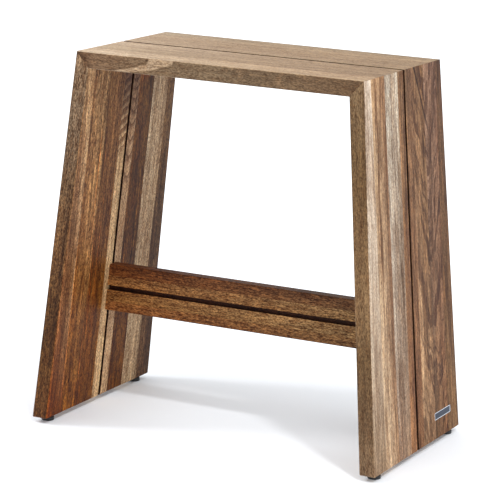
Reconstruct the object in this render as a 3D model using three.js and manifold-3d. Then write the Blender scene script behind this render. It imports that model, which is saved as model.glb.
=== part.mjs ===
// Mitred waterfall stool in solid wood: a seat and two splayed side panels of one board thickness,
// tied by a stretcher, standing on four screw glides. Millimetres, +Z up, X along the seat,
// -Y the front; the origin is on the floor under the middle of the seat.
import * as THREE from "three";
import { mergeVertices } from "three/addons/utils/BufferGeometryUtils.js";
import Module from "manifold-3d";

const wasm = await Module();
wasm.setup();

// Overall form
const HEIGHT = 450;
const TOP_LENGTH = 365;
const BASE_LENGTH = 448;
const TOP_DEPTH = 220;
const BASE_DEPTH = 254;
const BOARD = 19;
const FLOOR_GAP = 6.2;
const EASED_EDGE = 2;
const EASED_END = 1.7;
const FOOT_CORNER_R = 4;
const GLUE_LINE = 0.15;

// Groove routed down the middle of every broad face
const GROOVE_WIDTH = 5;
const GROOVE_DEPTH = 5;

// Stretcher
const STRETCHER_LOW = 118.8;
const STRETCHER_HEIGHT = 58;
const STRETCHER_THICK = 17;
const STRETCHER_GROOVE = 5.8;
const STRETCHER_GROOVE_DEPTH = 5;

// Dowels
const DOWEL_SIDES = 16;
const MITRE_DOWEL_R = 3;
const MITRE_DOWEL_LENGTH = 25;
const MITRE_DOWEL_FROM_INSIDE = 8;
const MITRE_DOWEL_Y = [-85, -35, 35, 85];
const RAIL_DOWEL_R = 4;
const RAIL_DOWEL_LENGTH = 35;
const RAIL_DOWEL_IN_PANEL = 11;
const RAIL_DOWEL_OFFSET = 17;
const HOLE_EASE = 0.2;
const HOLE_SPARE = 0.5;

// Screw glides, one under each corner
const GLIDE_FROM_MIDDLE_Y = 106;
const ROUND_SIDES = 24;
const INSERT_R = 5;
const INSERT_LENGTH = 13;
const INSERT_BORE_R = 3.15;
const STEM_R = 2.95;
const STEM_TOP = 18;
const PAD_R = 7.7;
const PAD_HEIGHT = 4.4;

// Blank nameplate let into the right panel's outer face
const PLATE_LENGTH = 48;
const PLATE_HEIGHT = 8.6;
const PLATE_THICK = 1.2;
const PLATE_RIM = 0.9;
const PLATE_FIELD_DEPTH = 0.4;
const PLATE_Y = 77;
const PLATE_Z = 33.6;
const POCKET_DEPTH = 1.5;
const POCKET_EASE = 0.2;
const TAPE_THICK = 0.2;

const BODY_HEIGHT = HEIGHT - FLOOR_GAP;
const SPLAY_RISE = (BASE_LENGTH - TOP_LENGTH) / 2 / BODY_HEIGHT;
const SPLAY = Math.atan(SPLAY_RISE);
const PANEL_THICK_X = BOARD / Math.cos(SPLAY);
const STRETCHER_MID = STRETCHER_LOW + STRETCHER_HEIGHT / 2;
const GLIDE_X = BASE_LENGTH / 2 - PANEL_THICK_X / 2;

const wood = (color) => new THREE.MeshStandardMaterial({ color, roughness: 0.55, metalness: 0 });
const materials = {
  seat: wood(0xb89a78),
  panel: wood(0x8f6647),
  stretcher: wood(0x75492e),
  dowel: wood(0xd9bd92),
  pad: new THREE.MeshStandardMaterial({ color: 0x17171a, roughness: 0.5, metalness: 0 }),
  zinc: new THREE.MeshStandardMaterial({ color: 0xb9bcc0, roughness: 0.35, metalness: 1 }),
  plate: new THREE.MeshStandardMaterial({ color: 0x8b8f9a, roughness: 0.3, metalness: 1 }),
  tape: new THREE.MeshStandardMaterial({ color: 0xd8d8d4, roughness: 0.8, metalness: 0 }),
};

// Outer and inner face of the right-hand panel at height z, and the half depth of the whole body there.
const outerX = (z) => TOP_LENGTH / 2 + (HEIGHT - z) * SPLAY_RISE;
const innerX = (z) => outerX(z) - PANEL_THICK_X;
const depthScale = (z) => 1 + ((HEIGHT - z) / BODY_HEIGHT) * (BASE_DEPTH / TOP_DEPTH - 1);

function solid(geometry) {
  const plain = geometry.index ? geometry.clone() : geometry;
  for (const name of Object.keys(plain.attributes)) {
    if (name !== "position") plain.deleteAttribute(name);
  }
  const merged = mergeVertices(plain, 1e-4);
  return new wasm.Manifold(
    new wasm.Mesh({
      numProp: 3,
      vertProperties: merged.attributes.position.array,
      triVerts: new Uint32Array(merged.index.array),
    }),
  );
}

function surface(manifold) {
  const { vertProperties, triVerts } = manifold.getMesh();
  const indexed = new THREE.BufferGeometry();
  indexed.setAttribute("position", new THREE.BufferAttribute(vertProperties, 3));
  indexed.setIndex(new THREE.BufferAttribute(triVerts, 1));
  const faceted = indexed.toNonIndexed();
  faceted.computeVertexNormals();
  return faceted;
}

function named(name, geometry, material) {
  const mesh = new THREE.Mesh(geometry, material);
  mesh.name = name;
  return mesh;
}

function bend(geometry, move) {
  const position = geometry.attributes.position;
  const point = new THREE.Vector3();
  for (let i = 0; i < position.count; i++) {
    point.fromBufferAttribute(position, i);
    move(point);
    position.setXYZ(i, point.x, point.y, point.z);
  }
  return geometry;
}

function box(x, y, z, at = [0, 0, 0]) {
  return new THREE.BoxGeometry(x, y, z).translate(...at);
}

function roundedRectangle(width, height, r) {
  const w = width / 2;
  const h = height / 2;
  const shape = new THREE.Shape();
  shape.moveTo(-w + r, -h);
  shape.lineTo(w - r, -h);
  shape.absarc(w - r, -h + r, r, -Math.PI / 2, 0);
  shape.lineTo(w, h - r);
  shape.absarc(w - r, h - r, r, 0, Math.PI / 2);
  shape.lineTo(-w + r, h);
  shape.absarc(-w + r, h - r, r, Math.PI / 2, Math.PI);
  shape.lineTo(-w, -h + r);
  shape.absarc(-w + r, -h + r, r, Math.PI, Math.PI * 1.5);
  return shape;
}

// Prism with its outline in the XZ plane, centred on Y.
function sidePrism(points, width) {
  const shape = new THREE.Shape(points.map(([x, z]) => new THREE.Vector2(x, -z)));
  const geometry = new THREE.ExtrudeGeometry(shape, { depth: width, bevelEnabled: false });
  return geometry.translate(0, 0, -width / 2).rotateX(-Math.PI / 2);
}

// Leans an upright shape of the right-hand panel to the splay and deepens it towards the floor.
const splayed = (geometry) =>
  bend(geometry, (p) => {
    p.x += (HEIGHT - p.z) * SPLAY_RISE;
  });
const tapered = (geometry) =>
  bend(geometry, (p) => {
    p.y *= depthScale(p.z);
  });

// Region on the seat's side of both mitres (keep = seat) or outside the right one (keep = panel).
function mitreRegion(keep) {
  const inner = HEIGHT - BOARD;
  const slope = (outerX(HEIGHT) - innerX(inner)) / BOARD;
  const at = (z) => innerX(inner) + (z - inner) * slope;
  const half = GLUE_LINE / 2 / Math.sin(Math.atan(1 / slope));
  const reach = 40;
  const low = inner - reach;
  const high = HEIGHT + reach;
  if (keep === "seat") {
    const a = at(low) - half;
    const b = at(high) - half;
    return solid(sidePrism([[-a, low], [a, low], [b, high], [-b, high]], 2 * BASE_DEPTH));
  }
  const far = BASE_LENGTH;
  const outline = [
    [at(low) + half, low],
    [0, low],
    [0, -reach],
    [far, -reach],
    [far, high],
    [at(high) + half, high],
  ];
  return solid(sidePrism(outline.reverse(), 2 * BASE_DEPTH));
}

function cylinder(r, length, sides) {
  return new THREE.CylinderGeometry(r, r, length, sides);
}

// Dowels across the right-hand mitre: axis square to the joint, centred on the glue line.
function mitreDowel(r, length, y) {
  const inner = HEIGHT - BOARD;
  const run = new THREE.Vector2(outerX(HEIGHT) - innerX(inner), BOARD).normalize();
  const x = innerX(inner) + run.x * MITRE_DOWEL_FROM_INSIDE;
  const z = inner + run.y * MITRE_DOWEL_FROM_INSIDE;
  const tilt = Math.atan2(run.x, run.y);
  return cylinder(r, length, DOWEL_SIDES)
    .rotateZ(Math.PI / 2)
    .rotateY(tilt)
    .translate(x, y, z);
}

// Dowels from the stretcher's right end into the panel, one over and one under its groove.
function railDowel(r, length, z, spare = 0) {
  const end = innerX(z) + RAIL_DOWEL_IN_PANEL;
  return cylinder(r, length + 2 * spare, DOWEL_SIDES)
    .rotateZ(Math.PI / 2)
    .translate(end - length / 2, 0, z);
}

function mitreHoles() {
  return MITRE_DOWEL_Y.map((y) =>
    solid(mitreDowel(MITRE_DOWEL_R + HOLE_EASE, MITRE_DOWEL_LENGTH + 2 * HOLE_SPARE, y)),
  );
}

function railHoles() {
  return [-1, 1].map((side) =>
    solid(
      railDowel(
        RAIL_DOWEL_R + HOLE_EASE,
        RAIL_DOWEL_LENGTH,
        STRETCHER_MID + side * RAIL_DOWEL_OFFSET,
        HOLE_SPARE,
      ),
    ),
  );
}

function turnedRound(manifold) {
  return manifold.rotate([0, 0, 180]);
}

function seat() {
  const section = roundedRectangle(BOARD, TOP_DEPTH, EASED_EDGE);
  const blank = new THREE.ExtrudeGeometry(section, {
    depth: BASE_LENGTH,
    bevelEnabled: false,
    curveSegments: 4,
  });
  blank.translate(0, 0, -BASE_LENGTH / 2).rotateY(Math.PI / 2).translate(0, 0, HEIGHT - BOARD / 2);
  let body = solid(tapered(blank)).intersect(mitreRegion("seat"));
  for (const face of [HEIGHT, HEIGHT - BOARD]) {
    body = body.subtract(solid(box(BASE_LENGTH, GROOVE_WIDTH, 2 * GROOVE_DEPTH, [0, 0, face])));
  }
  for (const hole of mitreHoles()) {
    body = body.subtract(hole).subtract(turnedRound(hole));
  }
  return surface(body);
}

function panel(withPocket) {
  const section = roundedRectangle(PANEL_THICK_X, TOP_DEPTH, EASED_EDGE);
  const blank = new THREE.ExtrudeGeometry(section, {
    depth: HEIGHT,
    bevelThickness: EASED_END,
    bevelSize: EASED_END,
    bevelOffset: -EASED_END,
    bevelSegments: 3,
    curveSegments: 4,
  });
  const middle = TOP_LENGTH / 2 - PANEL_THICK_X / 2;
  blank.translate(middle, 0, FLOOR_GAP + EASED_END);
  let body = solid(splayed(tapered(blank)));
  body = body.intersect(solid(roundedFoot())).intersect(mitreRegion("panel"));
  for (const face of [TOP_LENGTH / 2, TOP_LENGTH / 2 - PANEL_THICK_X]) {
    const cutter = box(2 * GROOVE_DEPTH, GROOVE_WIDTH, 2 * HEIGHT, [face, 0, HEIGHT / 2]);
    body = body.subtract(solid(splayed(cutter)));
  }
  for (const hole of [...mitreHoles(), ...railHoles()]) {
    body = body.subtract(hole);
  }
  for (const side of [-1, 1]) {
    const depth = INSERT_LENGTH + HOLE_SPARE;
    const hole = cylinder(INSERT_R + HOLE_EASE, 2 * depth, ROUND_SIDES)
      .rotateX(Math.PI / 2)
      .translate(GLIDE_X, side * GLIDE_FROM_MIDDLE_Y, FLOOR_GAP);
    body = body.subtract(solid(hole));
  }
  if (withPocket) {
    const pocket = box(2 * POCKET_DEPTH, PLATE_LENGTH + 2 * POCKET_EASE, PLATE_HEIGHT + 2 * POCKET_EASE);
    body = body.subtract(solid(onOuterFace(pocket)));
  }
  return surface(body);
}

// Front outline of a panel in the YZ plane, its two lower corners rounded, wide enough along X for both.
function roundedFoot() {
  const half = BASE_DEPTH / 2;
  const r = FOOT_CORNER_R;
  const outline = new THREE.Shape();
  outline.moveTo(-half + r, FLOOR_GAP);
  outline.lineTo(half - r, FLOOR_GAP);
  outline.absarc(half - r, FLOOR_GAP + r, r, -Math.PI / 2, 0);
  outline.lineTo(half, 2 * HEIGHT);
  outline.lineTo(-half, 2 * HEIGHT);
  outline.absarc(-half + r, FLOOR_GAP + r, r, Math.PI, Math.PI * 1.5);
  const prism = new THREE.ExtrudeGeometry(outline, {
    depth: 2 * BASE_LENGTH,
    bevelEnabled: false,
    curveSegments: 6,
  });
  return prism.translate(0, 0, -BASE_LENGTH).rotateX(Math.PI / 2).rotateZ(Math.PI / 2);
}

// Sets a geometry whose +X is the outward normal on the right panel's outer face, at the nameplate.
function onOuterFace(geometry) {
  return geometry.rotateY(-SPLAY).translate(outerX(PLATE_Z), PLATE_Y, PLATE_Z);
}

function stretcher() {
  const section = roundedRectangle(STRETCHER_HEIGHT, STRETCHER_THICK, EASED_EDGE);
  const blank = new THREE.ExtrudeGeometry(section, {
    depth: BASE_LENGTH,
    bevelEnabled: false,
    curveSegments: 4,
  });
  blank.translate(0, 0, -BASE_LENGTH / 2).rotateY(Math.PI / 2).translate(0, 0, STRETCHER_MID);
  const low = STRETCHER_LOW - 5;
  const high = STRETCHER_LOW + STRETCHER_HEIGHT + 5;
  const a = innerX(low) - GLUE_LINE;
  const b = innerX(high) - GLUE_LINE;
  let body = solid(blank).intersect(
    solid(sidePrism([[-a, low], [a, low], [b, high], [-b, high]], 2 * STRETCHER_THICK)),
  );
  for (const side of [-1, 1]) {
    const groove = box(
      2 * BASE_LENGTH,
      2 * STRETCHER_GROOVE_DEPTH,
      STRETCHER_GROOVE,
      [0, (side * STRETCHER_THICK) / 2, STRETCHER_MID],
    );
    body = body.subtract(solid(groove));
  }
  for (const hole of railHoles()) {
    body = body.subtract(hole).subtract(turnedRound(hole));
  }
  return surface(body);
}

function dowels(side) {
  const group = new THREE.Group();
  MITRE_DOWEL_Y.forEach((y, i) => {
    const geometry = mitreDowel(MITRE_DOWEL_R, MITRE_DOWEL_LENGTH, y);
    group.add(named(`mitre_dowel_${side}_${i + 1}`, geometry, materials.dowel));
  });
  [["lower", -1], ["upper", 1]].forEach(([place, sign]) => {
    const z = STRETCHER_MID + sign * RAIL_DOWEL_OFFSET;
    const geometry = railDowel(RAIL_DOWEL_R, RAIL_DOWEL_LENGTH, z);
    group.add(named(`stretcher_dowel_${side}_${place}`, geometry, materials.dowel));
  });
  return group;
}

function turned(points, sides = ROUND_SIDES) {
  const profile = points.map(([r, z]) => new THREE.Vector2(r, z));
  return new THREE.LatheGeometry(profile, sides).rotateX(Math.PI / 2);
}

function glide(place) {
  const group = new THREE.Group();
  const low = FLOOR_GAP + 0.2;
  const barbs = [];
  for (let i = 0; i < 3; i++) {
    const z = low + 1.6 + i * 3.4;
    barbs.push([INSERT_R, z], [INSERT_R - 0.6, z + 0.2], [INSERT_R, z + 3]);
  }
  const insert = turned([
    [INSERT_BORE_R, low + INSERT_LENGTH - 0.2],
    [INSERT_BORE_R, low],
    [INSERT_R, low],
    ...barbs,
    [INSERT_R - 0.5, low + INSERT_LENGTH - 0.2],
    [INSERT_BORE_R, low + INSERT_LENGTH - 0.2],
  ]);
  const stem = turned([
    [0, 1.3],
    [3.3, 1.3],
    [3.3, 2.5],
    [2.2, 3.1],
    [2.2, PAD_HEIGHT + 0.1],
    [4.4, PAD_HEIGHT + 0.1],
    [4.4, PAD_HEIGHT + 0.9],
    [STEM_R, PAD_HEIGHT + 0.9],
    [STEM_R, STEM_TOP - 0.7],
    [STEM_R - 0.7, STEM_TOP],
    [0, STEM_TOP],
  ]);
  const pad = turned([
    [0, 0],
    [PAD_R - 1.3, 0],
    [PAD_R - 0.3, 0.5],
    [PAD_R, 1.4],
    [PAD_R, PAD_HEIGHT - 0.8],
    [PAD_R - 0.8, PAD_HEIGHT],
    [2.5, PAD_HEIGHT],
    [2.5, 3.4],
    [3.6, 2.8],
    [3.6, 1.1],
    [0, 1.1],
  ]);
  group.add(named(`glide_insert_${place}`, insert, materials.zinc));
  group.add(named(`glide_stem_${place}`, stem, materials.zinc));
  group.add(named(`glide_pad_${place}`, pad, materials.pad));
  return group;
}

function nameplate() {
  const group = new THREE.Group();
  const half = PLATE_THICK / 2;
  const bed = POCKET_DEPTH - PLATE_THICK;
  const plate = solid(box(PLATE_THICK, PLATE_LENGTH, PLATE_HEIGHT)).subtract(
    solid(
      box(
        2 * PLATE_FIELD_DEPTH,
        PLATE_LENGTH - 2 * PLATE_RIM,
        PLATE_HEIGHT - 2 * PLATE_RIM,
        [half, 0, 0],
      ),
    ),
  );
  const proud = bed + half - POCKET_DEPTH;
  group.add(named("nameplate", surface(plate).translate(proud, 0, 0), materials.plate));
  const tape = box(TAPE_THICK, PLATE_LENGTH - 2, PLATE_HEIGHT - 2);
  tape.translate(-POCKET_DEPTH + bed / 2, 0, 0);
  group.add(named("nameplate_tape", tape, materials.tape));
  group.rotation.y = -SPLAY;
  group.position.set(outerX(PLATE_Z), PLATE_Y, PLATE_Z);
  return group;
}

const stool = new THREE.Group();
stool.add(named("seat_panel", seat(), materials.seat));
stool.add(named("right_panel", panel(true), materials.panel));
const leftPanel = named("left_panel", panel(false), materials.panel);
leftPanel.rotation.z = Math.PI;
stool.add(leftPanel);
stool.add(named("stretcher", stretcher(), materials.stretcher));

const leftSide = new THREE.Group();
leftSide.rotation.z = Math.PI;
leftSide.add(dowels("left"));
stool.add(dowels("right"), leftSide);

for (const [place, x, y] of [
  ["front_left", -1, -1],
  ["front_right", 1, -1],
  ["rear_left", -1, 1],
  ["rear_right", 1, 1],
]) {
  const foot = glide(place);
  foot.position.set(x * GLIDE_X, y * GLIDE_FROM_MIDDLE_Y, 0);
  stool.add(foot);
}
stool.add(nameplate());

export default stool;
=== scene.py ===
"""Looks of the shower stool: oiled boards glued up from staves, screw glides and a blank nameplate."""

import math

import bmesh
import bpy
from mathutils import Matrix, Vector


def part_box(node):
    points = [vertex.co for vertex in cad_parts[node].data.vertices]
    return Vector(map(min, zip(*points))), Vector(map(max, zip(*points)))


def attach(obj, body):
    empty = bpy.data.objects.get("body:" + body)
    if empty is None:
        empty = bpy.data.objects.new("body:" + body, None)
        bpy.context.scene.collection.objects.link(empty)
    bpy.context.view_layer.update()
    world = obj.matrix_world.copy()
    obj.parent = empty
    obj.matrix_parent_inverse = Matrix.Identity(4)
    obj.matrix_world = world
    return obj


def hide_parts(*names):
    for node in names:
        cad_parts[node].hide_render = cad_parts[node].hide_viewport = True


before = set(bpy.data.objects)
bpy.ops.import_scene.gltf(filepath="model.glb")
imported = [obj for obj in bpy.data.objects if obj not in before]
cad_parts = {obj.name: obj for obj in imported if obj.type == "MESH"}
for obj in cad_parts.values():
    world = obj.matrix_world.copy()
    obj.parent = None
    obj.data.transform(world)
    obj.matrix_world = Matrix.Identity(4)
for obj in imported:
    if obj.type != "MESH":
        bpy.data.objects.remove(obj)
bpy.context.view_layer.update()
MM = 0.001

# Camera: a long lens from the front right, looking down past the seat
CAMERA_TARGET = Vector((-0.0035, 0.0, 0.2167))
CAMERA_DISTANCE = 2.9896
CAMERA_YAW = math.radians(26.113)
CAMERA_PITCH = math.radians(12.406)
CAMERA_ROLL = math.radians(2.002)
CAMERA_LENS = 181.5
SENSOR = 36.0
CAMERA_REACH = 100.0

# The frame's own places
SEAT_LOW, SEAT_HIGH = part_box("seat_panel")
PANEL_LOW, PANEL_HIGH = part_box("right_panel")
RAIL_LOW, RAIL_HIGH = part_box("stretcher")
TOP_Z = SEAT_HIGH.z
TOP_X = SEAT_HIGH.x
FLOOR_GAP = PANEL_LOW.z
SPLAY_RISE = (PANEL_HIGH.x - TOP_X) / (TOP_Z - FLOOR_GAP)
SPLAY = math.atan(SPLAY_RISE)
BOARD = TOP_Z - SEAT_LOW.z
BOARD_X = BOARD / math.cos(SPLAY)
GROOVE_HALF = 2.5 * MM
RAIL_GROOVE_HALF = 2.9 * MM
RAIL_MIDDLE = (RAIL_LOW.z + RAIL_HIGH.z) / 2
PLACES = ("front_left", "front_right", "rear_left", "rear_right")

# How finely the round pieces are turned, and from which angle an arris is shaded sharp
PAD_SIDES = 72
STEM_SIDES = 36
ARC_STEPS = 6
TURNED_ARRIS = math.radians(38)
PLATE_ARRIS = math.radians(35)
BOARD_ARRIS = math.radians(30)
WELD_DISTANCE = 0.005 * MM
FLAT_FACE_WEIGHT = 90

# The M6 stem's thread, and the nameplate
THREAD_CREST = 2.95 * MM
THREAD_CORE = 2.4 * MM
THREAD_PITCH = 1.0 * MM
THREAD_STEP = 0.125 * MM
PLATE_THICK = 1.2 * MM
PLATE_CORNER = 1.0 * MM
PLATE_SMALLEST_CORNER = 0.15 * MM

# Studio
SURROUND_COLOR = (0.975, 0.987, 1.0, 1)
SURROUND_STRENGTH = 1.2
FLOOR_SIZE = 60.0
FLOOR_TONES = ((0.91, 0.945, 0.985, 1), (0.93, 0.96, 1.0, 1))


def paint(code, gain=(1.0, 1.0, 1.0)):
    """Linear colour of a six-digit sRGB code, each channel scaled by its gain."""
    parts = [int(code[i : i + 2], 16) / 255 for i in (0, 2, 4)]
    linear = [p / 12.92 if p <= 0.04045 else ((p + 0.055) / 1.055) ** 2.4 for p in parts]
    return [min(1.0, p * scale) for p, scale in zip(linear, gain)] + [1.0]


class Graph:
    """One node material. Its methods add nodes and give back an output socket, apart from node and ramp,
    which give back the node, and finish, which gives back the material."""

    def __init__(self, name):
        self.material = bpy.data.materials.new(name)
        self.material.use_nodes = True
        self.tree = self.material.node_tree
        self.shader = self.tree.nodes["Principled BSDF"]

    def node(self, kind, inputs=None, **settings):
        made = self.tree.nodes.new(kind)
        for key, value in settings.items():
            setattr(made, key, value)
        for key, value in (inputs or {}).items():
            self.feed(made.inputs[key], value)
        return made

    def feed(self, socket, value):
        if isinstance(value, bpy.types.NodeSocket):
            self.tree.links.new(value, socket)
        else:
            socket.default_value = value

    def math(self, operation, *values, clamp=False):
        made = self.node("ShaderNodeMath", operation=operation, use_clamp=clamp)
        for socket, value in zip(made.inputs, values):
            self.feed(socket, value)
        return made.outputs[0]

    def minus(self, a, b, clamp=False):
        return self.math("SUBTRACT", a, b, clamp=clamp)

    def inverse(self, value):
        """0 becomes 1, and 1 becomes 0."""
        return self.minus(1.0, value)

    def distance(self, x, y):
        return self.math("SQRT", self.add(self.times(x, x), self.times(y, y)))

    def add(self, *values):
        total = values[0]
        for value in values[1:]:
            total = self.math("ADD", total, value)
        return total

    def times(self, *values):
        product = values[0]
        for value in values[1:]:
            product = self.math("MULTIPLY", product, value)
        return product

    def step(self, value, low, high):
        """0 up to low, 1 from high, smooth between; low may be the larger."""
        made = self.node("ShaderNodeMapRange", interpolation_type="SMOOTHSTEP")
        self.feed(made.inputs["Value"], value)
        self.feed(made.inputs["From Min"], low)
        self.feed(made.inputs["From Max"], high)
        return made.outputs["Result"]

    def between(self, value, low, high):
        """low where the value is 0, high where it is 1, and on in a straight line."""
        made = self.node("ShaderNodeMapRange", clamp=False)
        self.feed(made.inputs["Value"], value)
        self.feed(made.inputs["To Min"], low)
        self.feed(made.inputs["To Max"], high)
        return made.outputs["Result"]

    def band(self, value, middle, half, soft):
        """1 within half of middle, fading out over soft."""
        off = self.math("ABSOLUTE", self.minus(value, middle))
        return self.step(off, half + soft, half)

    def vector(self, x, y, z):
        return self.node("ShaderNodeCombineXYZ", {"X": x, "Y": y, "Z": z}).outputs[0]

    def noise(self, vector, detail=2.0, roughness=0.5, scale=1.0):
        inputs = {"Vector": vector, "Scale": scale, "Detail": detail, "Roughness": roughness}
        return self.node("ShaderNodeTexNoise", inputs).outputs["Fac"]

    def point(self):
        return self.node("ShaderNodeTexCoord").outputs["Object"]

    def cells(self, *per_metre):
        """Object coordinates counted in cells, with so many to the metre along each axis."""
        xyz = self.node("ShaderNodeSeparateXYZ", {"Vector": self.point()}).outputs
        return self.vector(*(self.times(value, count) for value, count in zip(xyz, per_metre)))

    def ramp(self, factor, stops, interpolation="LINEAR"):
        """stops are (position, four numbers)."""
        made = self.node("ShaderNodeValToRGB", {"Fac": factor})
        table = made.color_ramp
        table.interpolation = interpolation
        for position, value in stops[1:-1]:
            table.elements.new(position).color = value
        table.elements[0].position, table.elements[0].color = stops[0]
        table.elements[-1].position, table.elements[-1].color = stops[-1]
        return made

    def mix(self, factor, a, b, blend="MIX"):
        made = self.node("ShaderNodeMix", data_type="RGBA", blend_type=blend)
        for name, value in (("Factor_Float", factor), ("A_Color", a), ("B_Color", b)):
            self.feed(next(s for s in made.inputs if s.identifier == name), value)
        return next(s for s in made.outputs if s.identifier == "Result_Color")

    def finish(self, color, roughness, height, bump=0.3, depth=0.2 * MM, **fixed):
        self.feed(self.shader.inputs["Base Color"], color)
        self.feed(self.shader.inputs["Roughness"], roughness)
        inputs = {"Height": height, "Strength": bump, "Distance": depth}
        relief = self.node("ShaderNodeBump", inputs)
        self.feed(self.shader.inputs["Normal"], relief.outputs[0])
        for name, value in fixed.items():
            self.shader.inputs[name.replace("_", " ")].default_value = value
        return self.material


# Staves. Each is (edge in mm where it starts, tones at the high or left end, tones at the low or right end,
# figure); tones are (first side, last side), and figure is (rings along, rings across, bow, strength).
STRAIGHT = (0.03, 0.60, 0.10, 0.55)
QUIET = (0.02, 0.58, 0.05, 0.20)
WISPY = (0.12, 0.57, 0.10, 0.50)
CALM = (0.12, 0.57, 0.10, 0.30)
SOFT = (0.03, 0.60, 0.10, 0.38)
FLAMED = (0.02, 0.55, 0.05, 0.42)
LIVELY = (0.14, 0.57, 0.12, 0.75)

# The greyish-white high-end tones of the first and third staves are partly a painted highlight at the top of
# the panel.
RIGHT_STAVES = [
    (-129.5, ("d4cac0", "dacaba"), ("a0886f", "907860"), QUIET),
    (-92.5, ("ac8e6e", "7e5c40"), ("ccb69c", "b09072"), SOFT),
    (-55.5, ("ccc6bc", "beb2a4"), ("9e8776", "8a705a"), WISPY),
    (-18.5, ("8a6a4c", "6e523c"), ("8e6442", "8a6242"), STRAIGHT),
    (18.5, ("76563e", "8a6a4a"), ("927558", "8c6c50"), FLAMED),
    (55.5, ("967864", "725648"), ("583e24", "906846"), FLAMED),
    (92.5, ("60432f", "543b2b"), ("805f3c", "7a5c40"), FLAMED),
    (129.5,),
]
# The left panel's low-end tones are warmer and darker partly as painted shade with a warm cast of bounced
# light, low on its inner face.
LEFT_STAVES = [
    (-129.5, ("a68664", "caae8c"), ("88460a", "5e3206"), STRAIGHT),
    (-92.5, ("927456", "ae926c"), ("98621e", "7a4c16"), LIVELY),
    (-55.5, ("725230", "805e3e"), ("6a3e0e", "764812"), STRAIGHT),
    (-18.5, ("5a3c26", "6a4834"), ("7e5e46", "765640"), QUIET),
    (18.5, ("623e1a", "644620"), ("683e0c", "6a400c"), LIVELY),
    (55.5, ("bcae9c", "a08870"), ("c4b096", "aa947a"), CALM),
    (92.5, ("6a5036", "5c442e"), ("5c4028", "543c26"), STRAIGHT),
    (129.5,),
]
# The seat's tones are paler than the sides' partly as a painted sheen on the top, and grow paler towards the
# left end as a painted gradient of light.
SEAT_STAVES = [
    (-111.0, ("ecd8c0", "e4ceb6"), ("c6ac8e", "caae90"), QUIET),
    (-74.0, ("d0bca2", "d2bca2"), ("ac9276", "ae9478"), QUIET),
    (-37.0, ("d2bca4", "dec8b0"), ("b0967a", "b09678"), QUIET),
    (0.0, ("d2bca4", "ccb49a"), ("b49a7c", "ae9478"), QUIET),
    (37.0, ("c2aa90", "c8b096"), ("b09678", "b49a7c"), QUIET),
    (74.0, ("c8b298", "b8a892"), ("bca284", "a89478"), QUIET),
    (111.0,),
]
RAIL_STAVES = [
    (118.0, ("724628", "825430"), ("563e2a", "6e563c"), STRAIGHT),
    (131.0, ("785430", "744c2a"), ("7a6248", "7c644a"), STRAIGHT),
    (148.0, ("7a5230", "7e5634"), ("70583e", "705a42"), STRAIGHT),
    (163.0, ("62381a", "583016"), ("5c4430", "503828"), STRAIGHT),
    (178.0,),
]

# Tones of a board's front edge: (place, tone), with place from 0 at the low or left end to 1
# These front-edge tones are darker than the broad faces' partly as the wood's own colour and partly as
# painted shade.
RIGHT_FRONT = [
    (0.0, "846c56"),
    (0.2, "725a42"),
    (0.3, "6e563c"),
    (0.45, "907456"),
    (0.65, "7a6044"),
    (0.8, "745c40"),
    (1.0, "8c745a"),
]
LEFT_FRONT = [
    (0.0, "604024"),
    (0.15, "5e4022"),
    (0.3, "563c22"),
    (0.45, "76583a"),
    (0.65, "725c46"),
    (0.8, "8b7a68"),
    (1.0, "98846e"),
]
SEAT_FRONT = [
    (0.0, "5c4430"),
    (0.03, "866a54"),
    (0.3, "88725c"),
    (0.5, "88745f"),
    (0.65, "7a6652"),
    (0.85, "7e6650"),
    (1.0, "745c46"),
]

# What each board's tones are scaled by, so that they come out right in the studio's light
RIGHT_GAIN = (0.90, 0.88, 0.84)
# The front edges' lower gains darken them further, partly as painted shade.
RIGHT_FRONT_GAIN = (0.72, 0.69, 0.63)
LEFT_GAIN = (1.0, 0.95, 0.85)
LEFT_FRONT_GAIN = (0.75, 0.70, 0.65)
SEAT_GAIN = (0.625, 0.60, 0.56)
SEAT_FRONT_GAIN = (0.67, 0.64, 0.58)
RAIL_GAIN = (1.20, 1.20, 1.05)

# Grain patterns from broad to narrow. Each is the pattern's noise (cells per metre along and across the
# grain, detail, roughness), then its dark and its pale parts (where they start, where they are full, tint).
COARSE_GRAIN = {
    "broad": ((7, 70, 3.0, 0.55), (0.48, 0.66, (0.70, 0.60, 0.52)), (0.50, 0.32, (1.24, 1.25, 1.24))),
    "middling": ((11, 170, 2.0, 0.6), (0.50, 0.68, (0.60, 0.53, 0.46)), (0.48, 0.32, (1.32, 1.30, 1.26))),
    "streak": ((16, 420, 3.0, 0.65), (0.50, 0.66, (0.58, 0.50, 0.44)), (0.48, 0.32, (1.36, 1.34, 1.30))),
}
FINE_GRAIN = {
    "flame": ((60, 260, 2.0, 0.6), (0.50, 0.66, (0.80, 0.70, 0.62)), (0.48, 0.32, (1.24, 1.20, 1.14))),
    "speckle": ((330, 800, 2.0, 0.7), (0.50, 0.62, (0.54, 0.46, 0.38)), (0.48, 0.36, (1.50, 1.44, 1.30))),
}
PORE_CELLS = (150, 950, 2.0, 0.6)
PORE_CROWDING = (12, 60, 1.0, 0.5)

# Tints
LATE_WOOD = (0.48, 0.38, 0.31)
EARLY_WOOD = (1.35, 1.33, 1.28)
PORE_TINT = (0.40, 0.31, 0.25)
# the next tint is painted shade inside the grooves
GROOVE_PAINTED_SHADE = (0.15, 0.075, 0.05)
GLUE_TINT = (0.45, 0.36, 0.30)
# the next tint lightens the arrises: wear, and a painted highlight on the eased edges
WEAR_AND_HIGHLIGHT_TINT = (1.5, 1.45, 1.38)
EMBER_TINT = (1.75, 1.25, 0.75)

# How far apart the staves' seeds lie, and how near a stave's side its glue line starts to show and is full,
# as parts of the stave's width
SEED_SPREAD = 23.0
GLUE_FADE = 0.008
GLUE_FULL = 0.0025


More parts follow.
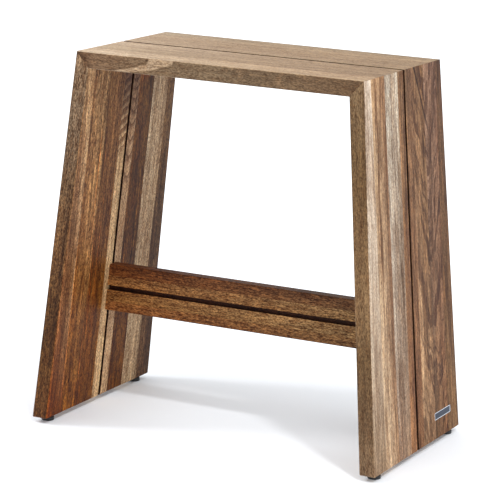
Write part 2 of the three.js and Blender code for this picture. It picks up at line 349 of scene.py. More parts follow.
def stave_position(edges, millimetres):
    return (millimetres - edges[0]) / (edges[-1] - edges[0])


def tone_stops(staves, end, gain):
    """Two stops for each stave, close to its glue lines."""
    edges = [stave[0] for stave in staves]
    hair = 0.3
    stops = []
    for i, stave in enumerate(staves[:-1]):
        first, last = stave[end]
        stops.append((stave_position(edges, edges[i] + hair / 2), paint(first, gain)))
        stops.append((stave_position(edges, edges[i + 1] - hair / 2), paint(last, gain)))
    return stops


def saw_stops(staves):
    """From 0 to 1 across each stave."""
    edges = [stave[0] for stave in staves]
    hair = 0.02
    stops = []
    for i in range(len(staves) - 1):
        stops.append((stave_position(edges, edges[i] + hair), [0, 0, 0, 1]))
        stops.append((stave_position(edges, edges[i + 1] - hair), [1, 1, 1, 1]))
    return stops


def step_stops(staves, value_of):
    """One stop where each stave starts."""
    edges = [stave[0] for stave in staves]
    return [(stave_position(edges, edges[i]), value_of(i)) for i in range(len(staves) - 1)]


class Board(Graph):
    """Oiled board glued up from staves. a runs along the grain, b across the broad face, c through the board,
    in metres; ends are the board's ends in a, faces its two broad faces in c. high_end says whether the
    staves' first tones are at the far end in a, front_edge whether an edge of the board faces the front."""

    def __init__(self, name, staves, axes, ends, faces, high_end=True, front_edge=True):
        super().__init__(name)
        coordinates = self.node("ShaderNodeTexCoord").outputs
        xyz = self.node("ShaderNodeSeparateXYZ", {"Vector": coordinates["Object"]}).outputs
        normal = self.node("ShaderNodeSeparateXYZ", {"Vector": coordinates["Normal"]}).outputs
        self.a, self.b, self.c = axes(self, *xyz)
        self.staves, self.faces, self.high_end = staves, faces, high_end
        first, last = staves[0][0] * MM, staves[-1][0] * MM
        self.at = self.math("DIVIDE", self.minus(self.b, first), last - first)
        self.local = self.ramp(self.at, saw_stops(staves)).outputs["Color"]
        numbers = step_stops(staves, lambda i: [((i * 7 + 3) % 11) / 11] * 3 + [1])
        self.seed = self.times(self.ramp(self.at, numbers, "CONSTANT").outputs["Color"], SEED_SPREAD)
        self.figure = self.ramp(self.at, step_stops(staves, lambda i: list(staves[i][3])), "CONSTANT").outputs
        self.reach = self.math("DIVIDE", self.minus(self.a, ends[0]), ends[1] - ends[0], clamp=True)
        self.facing = self.step(self.times(normal[1], -1), 0.45, 0.8) if front_edge else 0.0

    def grain_noise(self, along, across, detail=2.0, roughness=0.6):
        """Noise drawn out along the grain; along and across are cells per metre."""
        shifted = self.add(self.seed, self.times(self.c, across))
        vector = self.vector(self.times(self.a, along), self.times(self.b, across), shifted)
        return self.noise(vector, detail, roughness)

    def wander(self, along, across, size, detail=2.0):
        """Grain noise centred on 0, over a range of size."""
        return self.times(self.minus(self.grain_noise(along, across, detail), 0.5), size)

    def from_top(self):
        return self.minus(TOP_Z, self.a)

    def broad_face(self):
        return self.inverse(self.facing)

    def shade(self, tone, factor, color):
        return self.mix(factor, tone, tuple(color) + (1,), "MULTIPLY")

    def stave_tone(self, gain, front, lean):
        """The staves' tones, and the front edge's own, which are partly painted shade; lean over 1 favours
        the tones at the other end.
        """
        high = self.ramp(self.at, tone_stops(self.staves, 1, gain)).outputs["Color"]
        low = self.ramp(self.at, tone_stops(self.staves, 2, gain)).outputs["Color"]
        height = self.reach if self.high_end else self.inverse(self.reach)
        tone = self.mix(self.math("POWER", height, lean), low, high)
        if not front:
            return tone
        tones, front_gain = front
        stops = [(place, paint(code, front_gain)) for place, code in tones]
        # the front edge's own tones, partly painted shade
        return self.mix(self.facing, tone, self.ramp(self.reach, stops).outputs["Color"])

    def rings(self):
        """Growth rings: how much late wood and how much early wood shows, each from 0 to 1."""
        run, across, bow = self.node("ShaderNodeSeparateColor", {"Color": self.figure["Color"]}).outputs
        centred = self.minus(self.local, 0.5)
        deep = self.add(self.seed, self.times(self.c, 30))
        drift = self.noise(self.vector(self.times(self.a, 6), self.times(self.local, 1.6), deep), 3.0)
        waver = self.noise(self.vector(self.times(self.a, 34), self.times(self.local, 6.0), self.seed), 2.0)
        phase = self.add(
            self.times(self.a, run, 80),  # the rings run out slowly along the stave,
            self.times(centred, self.minus(across, 0.5), 24),  # fast across it,
            self.times(centred, centred, bow, 30),  # bow in its middle,
            self.times(self.c, 60),  # lean through the board,
            self.times(self.minus(drift, 0.5), 5.0),  # wander,
            self.times(self.minus(waver, 0.5), 1.1),  # tremble,
            self.times(self.seed, 3.7),  # and differ from stave to stave
        )
        bands = self.noise(self.vector(self.times(phase, 1.5), self.seed, 0.0), 2.0, 0.6)
        late = self.times(self.step(bands, 0.50, 0.68), self.figure["Alpha"])
        early = self.times(self.step(bands, 0.48, 0.32), self.figure["Alpha"])
        return late, early

    def groove_shade_mask(self, middle, half):
        """1 on a groove's walls and floor, fading out just under the broad face; there the groove is darkened
        with painted shade.
        """
        off = self.math("ABSOLUTE", self.minus(self.b, middle))
        shallow, deep = 0.05 * MM, 0.35 * MM
        under_one = self.step(self.minus(self.c, self.faces[0]), shallow, deep)
        under_other = self.step(self.minus(self.faces[1], self.c), shallow, deep)
        return self.times(self.step(off, half + 0.3 * MM, half + 0.05 * MM), under_one, under_other)

    def glue(self):
        """1 on the hairline between two staves."""
        off = self.math("ABSOLUTE", self.minus(self.local, 0.5))
        return self.step(off, 0.5 - GLUE_FADE, 0.5 - GLUE_FULL)

    def wear_and_highlight(self):
        """1 on the arrises, where hands and water wear the oil; the lightening there is also a painted
        highlight along the eased edges.
        """
        rounded = self.node("ShaderNodeBevel", {"Radius": 1.3 * MM}, samples=4).outputs[0]
        true_normal = self.node("ShaderNodeNewGeometry").outputs["True Normal"]
        inputs = {0: rounded, 1: true_normal}
        turn = self.node("ShaderNodeVectorMath", inputs, operation="DOT_PRODUCT").outputs["Value"]
        return self.step(turn, 0.995, 0.90)

    def finished(self, gain, front, groove, marks=None, coarse=1.0, fine=1.0, lean=1.0):
        """The whole material; front is the front edge's tones and their gain, and coarse and fine are how
        strongly the coarse and the fine grain show."""
        tone = self.stave_tone(gain, front, lean)
        if marks:
            tone = marks(self, tone)
        late, early = self.rings()
        crowded = self.between(self.grain_noise(*PORE_CROWDING), 0.2, 1.4)
        pores = self.times(self.step(self.grain_noise(*PORE_CELLS), 0.52, 0.64), crowded)
        pores = self.math("MINIMUM", pores, 1.0)
        depth = self.between(self.figure["Alpha"], 0.40, 1.45)
        coarse = self.times(depth, self.between(self.facing, coarse, 0.45 * coarse))
        fine = self.times(self.between(depth, 0.5 * fine, 1.1 * fine), self.between(self.facing, 1.0, 1.25))
        patterns = {}
        for table, amount in ((COARSE_GRAIN, coarse), (FINE_GRAIN, fine)):
            for name, (cells, *tints) in table.items():
                patterns[name] = self.grain_noise(*cells)
                for start, full, tint in tints:
                    seen = self.times(self.step(patterns[name], start, full), amount)
                    tone = self.shade(tone, seen, tint)
        tone = self.shade(tone, self.times(late, coarse), LATE_WOOD)
        tone = self.shade(tone, self.times(early, coarse), EARLY_WOOD)
        tone = self.shade(tone, self.times(pores, fine), PORE_TINT)
        # painted shade: the grooves' walls and floor are darkened
        tone = self.shade(tone, self.groove_shade_mask(*groove), GROOVE_PAINTED_SHADE)
        tone = self.shade(tone, self.times(self.glue(), 0.45), GLUE_TINT)
        wear_and_highlight = self.times(self.wear_and_highlight(), self.between(patterns["broad"], 0.1, 0.9))
        # painted highlight along the arrises, together with their wear
        tone = self.shade(tone, self.times(wear_and_highlight, 0.18), WEAR_AND_HIGHLIGHT_TINT)
        streak = patterns["streak"]
        roughness = self.add(0.52, self.times(streak, 0.16), self.times(pores, 0.12), self.times(wear_and_highlight, -0.08))
        height = self.add(self.times(streak, 0.6), self.times(pores, -0.8), self.times(late, 0.5))
        return self.finish(tone, roughness, height, bump=0.35, depth=0.25 * MM, Specular_IOR_Level=0.14)

    def flame_figure(self, tone, axis, slope, ring, reach, strength):
        """Nested V rings of flat-sawn wood, pointing down, within reach of the axis and a ring apart."""
        off = self.minus(self.b, axis)
        hook = self.math("SQRT", self.add(self.times(off, off), (4 * MM) ** 2))
        drift = self.wander(9, 22, 130 * MM, detail=3.0)
        waver = self.wander(38, 60, 16 * MM)
        level = self.add(self.a, self.times(hook, -slope), drift, waver)
        bands = self.noise(self.vector(self.times(level, 1 / ring), 0.7, self.times(self.c, 20)), 2.0, 0.55)
        seen = self.times(self.band(self.b, axis, reach, 14 * MM), self.broad_face(), strength)
        patchy = self.between(self.grain_noise(16, 70, 1.0), -0.5, 2.2)
        patchy = self.math("MAXIMUM", patchy, 0.15)
        seen = self.math("MINIMUM", self.times(seen, patchy), 1.0)
        tone = self.shade(tone, self.times(self.step(bands, 0.51, 0.58), seen), (0.42, 0.32, 0.27))
        return self.shade(tone, self.times(self.step(bands, 0.49, 0.40), seen), (1.42, 1.46, 1.50))


# Marks in the wood. w is the board, and each mark gives back where it shows, from 0 to 1, and its tint.


def ring_line(w, waver):
    """A dark ring line that slants down from the top edge."""
    down = w.from_top()
    line = w.minus(w.b, w.add(28.5 * MM, w.times(down, 0.47), waver))
    on_line = w.band(line, middle=0.0, half=1.2 * MM, soft=2.2 * MM)
    return w.times(on_line, w.step(down, 90 * MM, 60 * MM), w.broad_face()), (0.26, 0.20, 0.17)


def sap_streak(w, waver):
    """A pale streak beside a glue line, widest in the middle."""
    along = w.times(w.minus(w.a, 138 * MM), 1 / (86 * MM))
    swell = w.minus(1.0, w.math("POWER", w.math("ABSOLUTE", along), 2.0), clamp=True)
    reach = w.add(w.times(swell, 12 * MM), w.times(waver, 0.6))
    off_glue = w.minus(w.b, 18.5 * MM)
    inside = w.times(w.step(off_glue, 0.0, 0.3 * MM), w.step(w.minus(reach, off_glue), 0.0, 1.6 * MM))
    return w.times(inside, w.step(swell, 0.0, 0.1), w.broad_face()), (1.62, 1.74, 1.86)


def dark_streak(w, ripple):
    """A soft dark streak in the upper half of the second stave."""
    across = w.band(w.add(w.b, ripple), middle=-80 * MM, half=1.2 * MM, soft=3.2 * MM)
    along = w.band(w.a, middle=340 * MM, half=80 * MM, soft=70 * MM)
    return w.times(across, along, w.broad_face()), (0.48, 0.38, 0.31)


def pale_top(w, ripple):
    """The second stave turns paler just under the seat."""
    across = w.band(w.b, middle=-75 * MM, half=15 * MM, soft=4 * MM)
    along = w.step(w.add(w.a, ripple), 375 * MM, 430 * MM)
    return w.times(across, along, w.broad_face()), (1.42, 1.44, 1.46)


def red_shadow(w, waver):
    """A red-brown shadow along the second stave's rear glue line."""
    across = w.band(w.add(w.b, w.times(waver, 0.5)), middle=-57 * MM, half=3 * MM, soft=6 * MM)
    along = w.band(w.a, middle=240 * MM, half=110 * MM, soft=110 * MM)
    return w.times(across, along, w.step(w.b, -55.3 * MM, -55.8 * MM), 0.8), (0.62, 0.52, 0.46)


def pin_knot(w):
    away = w.distance(w.times(w.minus(w.b, -86.5 * MM), 1.6), w.minus(w.a, 221 * MM))
    return w.times(w.step(away, 3.0 * MM, 0.8 * MM), w.broad_face()), (0.40, 0.30, 0.24)


def right_marks(w, tone):
    """The V figure of flat-sawn wood, and the right panel's other marks over it."""
    tone = w.flame_figure(tone, axis=57 * MM, slope=2.0, ring=15 * MM, reach=32 * MM, strength=0.80)
    waver = w.wander(14, 20, 8 * MM)
    ripple = w.wander(9, 12, 16 * MM)
    marks = [ring_line(w, waver), sap_streak(w, waver), dark_streak(w, ripple), pale_top(w, ripple)]
    for seen, tint in marks + [red_shadow(w, waver), pin_knot(w)]:
        tone = w.shade(tone, seen, tint)
    return tone


def stepped_figure(w, tone, waver):
    """The middle stave turns pale downwards, in curved steps behind the groove and evenly before it, where
    slanting shades cross it."""
    depth = w.add(w.from_top(), waver)
    off = w.minus(w.b, 10 * MM)
    eased = w.math("DIVIDE", depth, w.math("ADD", w.times(depth, 6), 1.0))
    arcs = w.times(w.add(eased, w.times(off, off, 45), -22 * MM), 1 / (6.8 * MM))
    slants = w.times(w.add(depth, w.times(w.b, 0.55), w.times(waver, 0.8)), 1 / (12 * MM))
    behind = w.step(w.b, -1.0 * MM, 1.0 * MM)
    before = w.inverse(behind)
    stair = w.times(w.math("FLOOR", arcs), 1 / 8)
    ramp = w.step(depth, 34 * MM, 130 * MM)
    pale = w.math("MAXIMUM", w.add(w.times(stair, behind), w.times(ramp, before)), 0.0)
    pale = w.math("MINIMUM", pale, 1.0)
    light = w.mix(behind, paint("c6ac8a", LEFT_GAIN), paint("b89c80", LEFT_GAIN))
    stave = w.times(w.band(w.b, middle=0.0, half=18.4 * MM, soft=0.2 * MM), w.broad_face())
    tone = w.mix(w.times(pale, stave), tone, light)
    arc_zone = w.band(depth, middle=95 * MM, half=65 * MM, soft=30 * MM)
    arc_edge = w.times(w.step(w.math("FRACT", arcs), 0.55, 0.0), arc_zone, behind)
    slant_zone = w.band(depth, middle=82 * MM, half=38 * MM, soft=22 * MM)
    slant_edge = w.times(w.step(w.math("FRACT", slants), 0.9, 0.35), slant_zone, before)
    return w.shade(tone, w.times(w.add(arc_edge, slant_edge), stave), (0.40, 0.29, 0.22))


def ember(w, waver):
    """A red glow just under the seat."""
    across = w.band(w.b, middle=33 * MM, half=4 * MM, soft=10 * MM)
    along = w.band(w.add(w.from_top(), waver), middle=30 * MM, half=8 * MM, soft=16 * MM)
    return w.times(across, along, w.broad_face()), EMBER_TINT


def red_threads(w):
    """Fine red threads down a brown stave."""
    threads = w.step(w.noise(w.vector(w.times(w.b, 420), w.times(w.a, 5), 3.0), 2.0), 0.52, 0.66)
    across = w.band(w.b, middle=-50 * MM, half=9 * MM, soft=10 * MM)
    along = w.step(w.from_top(), 50 * MM, 150 * MM)
    return w.times(threads, across, along, w.broad_face()), EMBER_TINT


def pale_line(w):
    """A pale hairline in the lower half beside the first glue line, a little off the grain."""
    across = w.band(w.add(w.b, w.times(w.a, -0.015)), middle=-95 * MM, half=0.6 * MM, soft=1.4 * MM)
    return w.times(across, w.step(w.a, 240 * MM, 190 * MM), w.broad_face()), (2.1, 1.85, 1.4)


def dark_vein(w):
    """A dark vein in the front edge, near its inner side."""
    inwards = w.times(w.minus(w.c, w.faces[0]), 1 / BOARD_X)
    along = w.band(w.a, middle=165 * MM, half=70 * MM, soft=40 * MM)
    return w.times(w.band(inwards, middle=0.76, half=0.04, soft=0.14), along, w.facing), (0.50, 0.45, 0.42)


def knot_swirl(w):
    """A pin knot and the rings that flow round it."""
    away = w.distance(w.minus(w.b, -106 * MM), w.times(w.minus(w.a, 281 * MM), 1.7))
    ring = w.band(w.math("FRACT", w.times(away, 1 / (4 * MM))), middle=0.5, half=0.1, soft=0.3)
    return w.times(w.step(away, 12 * MM, 3 * MM), ring, w.broad_face()), (0.45, 0.34, 0.28)


def left_marks(w, tone):
    """The stepped figure, and the left panel's other marks over it."""
    waver = w.wander(30, 90, 7 * MM)
    tone = stepped_figure(w, tone, waver)
    for seen, tint in (ember(w, waver), red_threads(w), pale_line(w), dark_vein(w), knot_swirl(w)):
        tone = w.shade(tone, seen, tint)
    return tone


def seat_marks(w, tone):
    """The front edge's marks: a lens of pale figure with its dark rim, two faint pale rims, and the dark wood
    in the left mitre's corner."""
    down = w.math("DIVIDE", w.minus(TOP_Z, w.c), BOARD)
    ripple = w.noise(w.vector(w.times(w.a, 60), 0.0, w.times(w.c, 160)), 3.0)
    waver = w.times(w.minus(ripple, 0.5), 14 * MM)
    middle = w.add(-70 * MM, w.times(w.math("POWER", down, 2.2), -58 * MM), waver)
    half = w.add(17 * MM, w.times(down, -5 * MM))
    off = w.minus(w.a, middle)
    inside = w.step(w.minus(half, w.math("ABSOLUTE", off)), 0.0, 1.6 * MM)
    tone = w.mix(w.times(inside, w.facing), tone, paint("bca48c", SEAT_FRONT_GAIN))
    rim = w.band(off, middle=-19 * MM, half=0.5 * MM, soft=2.5 * MM)
    tone = w.shade(tone, w.times(rim, w.facing, 0.8), (0.52, 0.44, 0.38))
    for place, bulge, light in ((31 * MM, 9 * MM, 1.35), (78 * MM, -9 * MM, 1.45)):
        bow = w.times(w.math("POWER", w.minus(w.times(down, 2), 0.9), 2.0), -bulge)
        bowed = w.add(w.a, w.times(bow, -1), w.times(waver, 0.25))
        faint = w.band(bowed, middle=place, half=1.0 * MM, soft=3.5 * MM)
        tone = w.shade(tone, w.times(faint, w.facing, 0.8), (light, light * 0.98, light * 0.96))
    corner = w.add(w.math("ADD", w.a, TOP_X), w.times(down, -14 * MM), w.times(waver, 0.5))
    return w.shade(tone, w.times(w.step(corner, 12 * MM, 4 * MM), w.facing, 0.7), (0.50, 0.42, 0.36))


def dowel_wood():
    g = Graph("dowel_beech")
    fleck = g.noise(g.cells(120, 1300, 1300), 2.0)
    tone = g.mix(g.step(fleck, 0.4, 0.7), paint("d9bd92"), paint("b8925f"))
    return g.finish(tone, g.between(fleck, 0.5, 0.7), fleck)


def moulded_plastic():
    g = Graph("black_plastic")
    grain = g.noise(g.point(), 3.0, 0.6, scale=2600)
    scuff = g.noise(g.point(), 4.0, 0.6, scale=260)
    tone = g.mix(g.step(scuff, 0.5, 0.8), paint("17171a"), paint("2c2b2c"))
    return g.finish(tone, g.between(scuff, 0.34, 0.62), grain, bump=0.2, depth=0.08 * MM)


def bright_zinc():
    g = Graph("zinc_plated_steel")
    cloud = g.noise(g.point(), 3.0, 0.6, scale=420)
    spangle = g.noise(g.point(), 2.0, 0.5, scale=2400)
    tone = g.mix(cloud, paint("d2d4d6"), paint("a9a69c"))
    return g.finish(tone, g.between(spangle, 0.2, 0.4), spangle, bump=0.1, depth=0.05 * MM, Metallic=1.0)


def brushed_steel(name, light, dark, smoothest, roughest):
    g = Graph(name)
    hair = g.noise(g.cells(900, 90, 5200), 3.0, 0.6)
    cloud = g.noise(g.cells(90, 90, 160), 2.0)
    tone = g.mix(g.add(g.times(hair, 0.6), g.times(cloud, 0.4)), paint(dark), paint(light))
    roughness = g.between(hair, smoothest, roughest)
    return g.finish(tone, roughness, hair, bump=0.15, depth=0.04 * MM, Metallic=1.0)


def foam_tape():
    g = Graph("foam_tape")
    cell = g.noise(g.point(), 2.0, 0.5, scale=3000)
    return g.finish(g.mix(cell, paint("c9c9c2"), paint("e6e6e0")), g.between(cell, 0.7, 0.9), cell)


def smoothing_group():
    """Geometry nodes: weld the facets and shade only real arrises sharp."""
    group = bpy.data.node_groups.new("smooth_by_angle", "GeometryNodeTree")
    group.interface.new_socket("Geometry", in_out="INPUT", socket_type="NodeSocketGeometry")
    group.interface.new_socket("Geometry", in_out="OUTPUT", socket_type="NodeSocketGeometry")
    source = group.nodes.new("NodeGroupInput")
    unpick = group.nodes.new("GeometryNodeRemoveAttribute")
    unpick.inputs["Name"].default_value = "custom_normal"
    weld = group.nodes.new("GeometryNodeMergeByDistance")
    weld.inputs["Distance"].default_value = WELD_DISTANCE
    faces = group.nodes.new("GeometryNodeSetShadeSmooth")
    edges = group.nodes.new("GeometryNodeSetShadeSmooth")
    edges.domain = "EDGE"
    angle = group.nodes.new("GeometryNodeInputMeshEdgeAngle")
    small = group.nodes.new("FunctionNodeCompare")
    small.operation = "LESS_THAN"
    small.inputs["B"].default_value = BOARD_ARRIS
    target = group.nodes.new("NodeGroupOutput")
    chain = [source, unpick, weld, faces, edges, target]
    for giver, taker in zip(chain, chain[1:]):
        group.links.new(giver.outputs[0], taker.inputs[0])
    group.links.new(angle.outputs[0], small.inputs["A"])
    group.links.new(small.outputs[0], edges.inputs["Shade Smooth"])
    return group


def dress(node, material, group):
    """Gives a CAD node its finish, and rounds the shading of its eased edges."""
    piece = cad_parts[node]
    piece.data.materials.clear()
    piece.data.materials.append(material)
    modifier = piece.modifiers.new("smooth", "NODES")
    modifier.node_group = group
    weighted = piece.modifiers.new("flat_faces_rule", "WEIGHTED_NORMAL")
    weighted.keep_sharp = True
    weighted.weight = FLAT_FACE_WEIGHT


def new_piece(name, mesh, materials, body, node):
    piece = bpy.data.objects.new(name, mesh)
    bpy.context.scene.collection.objects.link(piece)
    for material in materials:
        mesh.materials.append(material)
    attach(piece, body)
    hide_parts(node)
    return piece


def round_mesh(name, rings, sides):
    """Closed mesh about a vertical axis; rings are functions of the angle that give (radius, height)."""
    shape = bmesh.new()
    loops = []
    for ring in rings:
        loop = []
        for i in range(sides):
            turn = 2 * math.pi * i / sides
            radius, height = ring(turn)
            loop.append(shape.verts.new((radius * math.cos(turn), radius * math.sin(turn), height)))
        loops.append(loop)
    for low, high in zip(loops, loops[1:]):
        for i in range(sides):
            j = (i + 1) % sides
            shape.faces.new((low[i], low[j], high[j], high[i]))
    for loop, turned in ((loops[0], True), (loops[-1], False)):
        middle = shape.verts.new(sum((v.co for v in loop), Vector()) / sides)
        for i in range(sides):
            j = (i + 1) % sides
            shape.faces.new((loop[j], loop[i], middle) if turned else (loop[i], loop[j], middle))
    mesh = bpy.data.meshes.new(name)
    shape.to_mesh(mesh)
    shape.free()
    mesh.polygons.foreach_set("use_smooth", [True] * len(mesh.polygons))
    mesh.set_sharp_from_angle(angle=TURNED_ARRIS)
    return mesh


def circle(radius, height):
    return lambda turn: (radius, height)


def arc(centre_r, centre_z, radius, start, end):
    """Rings along a rounded rim, from start to end in degrees from the outward direction."""
    angles = [math.radians(start + (end - start) * i / ARC_STEPS) for i in range(ARC_STEPS + 1)]
    return [circle(centre_r + radius * math.cos(a), centre_z + radius * math.sin(a)) for a in angles]


def turned_piece(name, rings, sides, material, body, node):
    """A round piece on its own node's axis."""
    low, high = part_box(node)
    piece = new_piece(name, round_mesh(name, rings, sides), [material], body, node)
    piece.matrix_world = Matrix.Translation(((low.x + high.x) / 2, (low.y + high.y) / 2, 0))


def glide_pad(place, material):
    """Black disc: a shallow dish underneath, a moulding line round its side and a socket for the stem."""
    node = f"glide_pad_{place}"
    low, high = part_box(node)
    radius = (high.x - low.x) / 2
    top = high.z
    foot_round, top_round = 0.9 * MM, 0.7 * MM
    line = radius - 0.15 * MM
    recess = top - 0.25 * MM
    dish = [circle(0.4 * MM, 0.35 * MM), circle(4.2 * MM, 0.35 * MM), circle(4.6 * MM, 0.0)]
    foot_rim = arc(radius - foot_round, foot_round, foot_round, -90, 0)
    moulding_line = [circle(radius, 2.1 * MM), circle(line, 2.2 * MM)]
    moulding_line += [circle(line, 2.45 * MM), circle(radius, 2.55 * MM)]
    top_rim = arc(radius - top_round, top - top_round, top_round, 0, 90)
    mouth = [circle(5.2 * MM, top), circle(5.0 * MM, recess), circle(3.0 * MM, recess)]
    socket = [circle(2.6 * MM, top - 0.5 * MM), circle(2.5 * MM, 3.4 * MM), circle(3.6 * MM, 2.8 * MM)]
    socket += [circle(3.6 * MM, 1.1 * MM), circle(0.4 * MM, 1.1 * MM)]
    rings = dish + foot_rim + moulding_line + top_rim + mouth + socket
    turned_piece(f"pad_shell_{place}", rings, PAD_SIDES, material, f"pad_{place}", node)


def thread_ring(height):
    """A ring of the right-hand thread: the crest climbs one pitch in a turn."""

    def ring(turn):
        phase = (height / THREAD_PITCH - turn / (2 * math.pi)) % 1
        tooth = max(0.0, 1 - abs(phase - 0.5) * 2.6)
        return THREAD_CORE + (THREAD_CREST - THREAD_CORE) * min(1.0, tooth * 1.4), height

    return ring


def hexagon_ring(flat, corner, height):
    """A ring of a hexagon with its corners turned off; flat and corner are radii."""

    def ring(turn):
        off = (turn % (math.pi / 3)) - math.pi / 6
        return min(corner, flat / math.cos(off)), height

    return ring


def glide_stem(place, material):
    """Bright stem: a headed foot in the pad's socket, a neck, a hexagon flange and the thread."""
    node = f"glide_stem_{place}"
    low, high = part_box(node)
    top = high.z
    flange = 4.5 * MM
    flange_top = flange + 0.8 * MM
    flat, corner = 3.85 * MM, 4.4 * MM
    start, end = flange + 0.9 * MM, top - 0.9 * MM
    foot = [circle(0.5 * MM, low.z), circle(2.9 * MM, low.z), circle(3.3 * MM, low.z + 0.3 * MM)]
    foot += [circle(3.3 * MM, 2.4 * MM), circle(2.9 * MM, 2.7 * MM), circle(2.2 * MM, 3.1 * MM)]
    neck = [circle(2.2 * MM, flange), circle(3.7 * MM, flange)]
    hexagon = [hexagon_ring(flat, corner, flange + rise) for rise in (0.12 * MM, 0.68 * MM)]
    shoulder = [circle(3.7 * MM, flange_top), circle(THREAD_CORE, flange_top)]
    count = int((end - start) / THREAD_STEP)
    thread = [thread_ring(start + (end - start) * i / count) for i in range(count + 1)]
    tip = [circle(THREAD_CORE, end + 0.05 * MM), circle(THREAD_CORE - 0.5 * MM, top), circle(0.4 * MM, top)]
    rings = foot + neck + hexagon + shoulder + thread + tip
    turned_piece(f"threaded_stem_{place}", rings, STEM_SIDES, material, f"stem_{place}", node)


def rounded_outline(length, height, radius, steps=6):
    points = []
    for quarter, (sx, sy) in enumerate(((1, 1), (-1, 1), (-1, -1), (1, -1))):
        for i in range(steps + 1):
            turn = math.pi / 2 * (quarter + i / steps)
            centre_x = sx * (length / 2 - radius)
            centre_y = sy * (height / 2 - radius)
            points.append((centre_x + radius * math.cos(turn), centre_y + radius * math.sin(turn)))
    return points


def nameplate(rim_steel, field_steel):
    """Blank plate: a polished raised rim round a satin field, lying along Y on the right panel's outer
    face."""
    low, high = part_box("nameplate")
    length = high.y - low.y
    height = (high.z - low.z - PLATE_THICK * math.sin(SPLAY)) / math.cos(SPLAY)
    back, front = -PLATE_THICK / 2, PLATE_THICK / 2
    steps = (
        (0.15 * MM, back),
        (0.0, back + 0.15 * MM),
        (0.0, front - 0.18 * MM),
        (0.06 * MM, front - 0.06 * MM),
        (0.2 * MM, front),
        (0.62 * MM, front),
        (0.78 * MM, front - 0.1 * MM),
        (0.9 * MM, front - 0.4 * MM),
    )
    shape = bmesh.new()
    loops = []
    for inset, level in steps:
        corner = max(PLATE_SMALLEST_CORNER, PLATE_CORNER - inset)
        outline = rounded_outline(length - 2 * inset, height - 2 * inset, corner)
        loops.append([shape.verts.new((level, a, b)) for a, b in outline])
    for one, two in zip(loops, loops[1:]):
        for i in range(len(one)):
            j = (i + 1) % len(one)
            shape.faces.new((one[i], one[j], two[j], two[i]))
    shape.faces.new(reversed(loops[0]))
    field = shape.faces.new(loops[-1])
    field.material_index = 1
    bmesh.ops.recalc_face_normals(shape, faces=shape.faces)
    mesh = bpy.data.meshes.new("blank_nameplate")
    shape.to_mesh(mesh)
    shape.free()
    mesh.polygons.foreach_set("use_smooth", [True] * len(mesh.polygons))
    mesh.set_sharp_from_angle(angle=PLATE_ARRIS)
    piece = new_piece("blank_nameplate", mesh, [rim_steel, field_steel], "stool", "nameplate")
    middle = (low + high) / 2
    piece.matrix_world = Matrix.Translation(middle) @ Matrix.Rotation(-SPLAY, 4, "Y")


def add_camera():
    back = Vector(
        (
            math.sin(CAMERA_YAW) * math.cos(CAMERA_PITCH),
            -math.cos(CAMERA_YAW) * math.cos(CAMERA_PITCH),
            math.sin(CAMERA_PITCH),
        )
    )
    right = (-back).cross(Vector((0, 0, 1))).normalized()
    up = back.cross(right)
    turned_right = right * math.cos(CAMERA_ROLL) + up * math.sin(CAMERA_ROLL)
    turned_up = up * math.cos(CAMERA_ROLL) - right * math.sin(CAMERA_ROLL)
    place = CAMERA_TARGET + back * CAMERA_DISTANCE
    data = bpy.data.cameras.new("camera")
    data.lens = CAMERA_LENS
    data.sensor_width = SENSOR
    data.clip_end = CAMERA_REACH
    camera = bpy.data.objects.new("camera", data)
    matrix = Matrix((turned_right, turned_up, back)).transposed().to_4x4()
    matrix.translation = place
    camera.matrix_world = matrix
    bpy.context.scene.collection.objects.link(camera)
    bpy.context.scene.camera = camera


def distant_light(name, azimuth, elevation, spread, power):
    """A softbox far off; azimuth from +X towards +Y, angles in degrees."""
    data = bpy.data.lights.new(name, "SUN")
    data.angle = math.radians(spread)
    data.energy = power
    light = bpy.data.objects.new(name, data)
    around, up = math.radians(azimuth), math.radians(elevation)
    towards = Vector((math.cos(around) * math.cos(up), math.sin(around) * math.cos(up), math.sin(up)))
    light.rotation_euler = towards.to_track_quat("Z", "Y").to_euler()
    bpy.context.scene.collection.objects.link(light)


def studio():
    """A bright, slightly cool surround with a key light and a fill light."""
    scene = bpy.context.scene
    scene.view_settings.view_transform = "Standard"
    world = bpy.data.worlds.new("studio")
    world.use_nodes = True
    background = world.node_tree.nodes["Background"]
    background.inputs["Color"].default_value = SURROUND_COLOR
    background.inputs["Strength"].default_value = SURROUND_STRENGTH
    scene.world = world
    distant_light("key", azimuth=-42, elevation=54, spread=5, power=0.9)
    distant_light("fill", azimuth=205, elevation=50, spread=10, power=0.7)


def studio_floor():
    g = Graph("pale_floor")
    cloud = g.noise(g.point(), 3.0, 0.5, scale=6)
    material = g.finish(g.mix(cloud, *FLOOR_TONES), g.between(cloud, 0.7, 0.8), cloud, bump=0.02)
    bpy.ops.mesh.primitive_grid_add(x_subdivisions=8, y_subdivisions=8, size=FLOOR_SIZE)
    floor = bpy.context.object
    floor.name = "studio_floor"
    floor.data.materials.append(material)


def leaning(side):
    """Axes of a side panel: along Z, across Y, and through the board from the splayed plane."""
    return lambda g, x, y, z: (z, y, g.add(x, g.times(z, SPLAY_RISE * side)))


def lying_flat(g, x, y, z):
    """Axes of the seat: along X, across Y, and through the board along Z."""
    return x, y, z


def on_edge(g, x, y, z):
    """Axes of the stretcher: along X, across Z, and through the board along Y."""
    return x, z, y


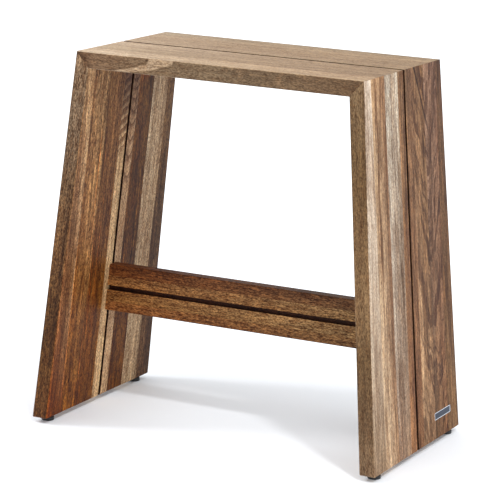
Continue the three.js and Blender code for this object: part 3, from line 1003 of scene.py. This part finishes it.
def board_materials():
    outer = TOP_X + TOP_Z * SPLAY_RISE
    heights = (FLOOR_GAP, TOP_Z)
    seat_ends, seat_faces = (-TOP_X, TOP_X), (SEAT_LOW.z, TOP_Z)
    rail_ends, rail_faces = (RAIL_LOW.x, RAIL_HIGH.x), (RAIL_LOW.y, RAIL_HIGH.y)
    groove = (0.0, GROOVE_HALF)
    rail_groove = (RAIL_MIDDLE, RAIL_GROOVE_HALF)
    right_front = (RIGHT_FRONT, RIGHT_FRONT_GAIN)
    left_front = (LEFT_FRONT, LEFT_FRONT_GAIN)
    seat_front = (SEAT_FRONT, SEAT_FRONT_GAIN)
    right = Board("right_panel_wood", RIGHT_STAVES, leaning(1), heights, (outer - BOARD_X, outer))
    left = Board("left_panel_wood", LEFT_STAVES, leaning(-1), heights, (-outer, BOARD_X - outer))
    seat = Board("seat_wood", SEAT_STAVES, lying_flat, seat_ends, seat_faces, high_end=False)
    rail = Board(
        "stretcher_wood", RAIL_STAVES, on_edge, rail_ends, rail_faces, high_end=False, front_edge=False
    )
    return {
        "right_panel": right.finished(RIGHT_GAIN, right_front, groove, right_marks, coarse=1.1, fine=0.75),
        "left_panel": left.finished(LEFT_GAIN, left_front, groove, left_marks, coarse=1.0, fine=1.5),
        # lean keeps the seat's painted gradient of light close to its left end
        "seat_panel": seat.finished(
            SEAT_GAIN, seat_front, groove, seat_marks, coarse=0.5, fine=0.7, lean=2.1
        ),
        "stretcher": rail.finished(RAIL_GAIN, None, rail_groove, coarse=0.5, fine=1.7),
    }


add_camera()
studio()
studio_floor()
group = smoothing_group()
beech = dowel_wood()
plastic = moulded_plastic()
zinc = bright_zinc()
for node, material in board_materials().items():
    dress(node, material, group)
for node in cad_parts:
    if "dowel" in node:
        dress(node, beech, group)
    elif node.startswith("glide_insert"):
        dress(node, zinc, group)
dress("nameplate_tape", foam_tape(), group)
for place in PLACES:
    glide_pad(place, plastic)
    glide_stem(place, zinc)
nameplate(
    brushed_steel("polished_rim", "eceef2", "b0b4bc", 0.16, 0.28),
    brushed_steel("satin_field", "3a4254", "1c202c", 0.32, 0.5),
)

bpy.context.view_layer.update()
